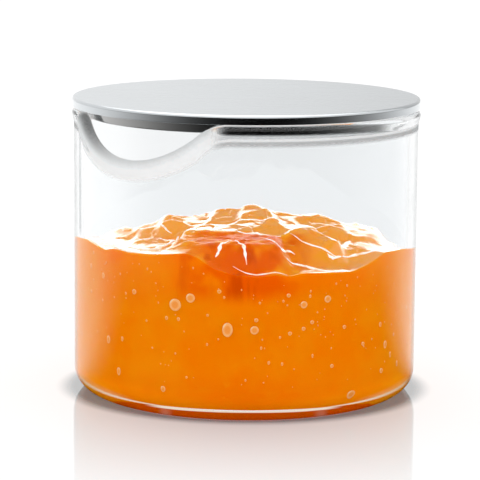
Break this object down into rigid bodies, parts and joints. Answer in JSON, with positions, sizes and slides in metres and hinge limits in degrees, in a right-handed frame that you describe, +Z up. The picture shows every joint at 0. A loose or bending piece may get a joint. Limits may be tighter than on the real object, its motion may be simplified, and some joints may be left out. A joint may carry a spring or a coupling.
{
  "type": "jam pot",
  "caption": "Cylindrical glass jam pot with a spoon notch in its beaded rim, a lift-off brushed steel lid with a centring plug, and a filling of orange jam.",
  "frame": {"origin": "centre of the jar's base, on the surface that it stands on", "axes": "+Z up through the lid, -Y towards the spoon notch"},
  "size_m": [0.09, 0.09, 0.0765],
  "materials": {
    "clear_glass": "clear, fire-polished rim",
    "brushed_lid_steel": "matt brushed on top, turned along the edge",
    "drawn_plug_steel": "turned",
    "orange_jam": "wet, glossy and translucent"
  },
  "bodies": {
    "jar": {"glass_jar": "clear_glass", "jam": "orange_jam"},
    "lid": {"lid_cap": "brushed_lid_steel", "lid_plug": "drawn_plug_steel"}
  },
  "joints": [
    {"name": "lid_lift", "type": "slide", "parent": "jar", "child": "lid", "axis": [0, 0, 1], "range_m": [0, 0.08]}
  ]
}
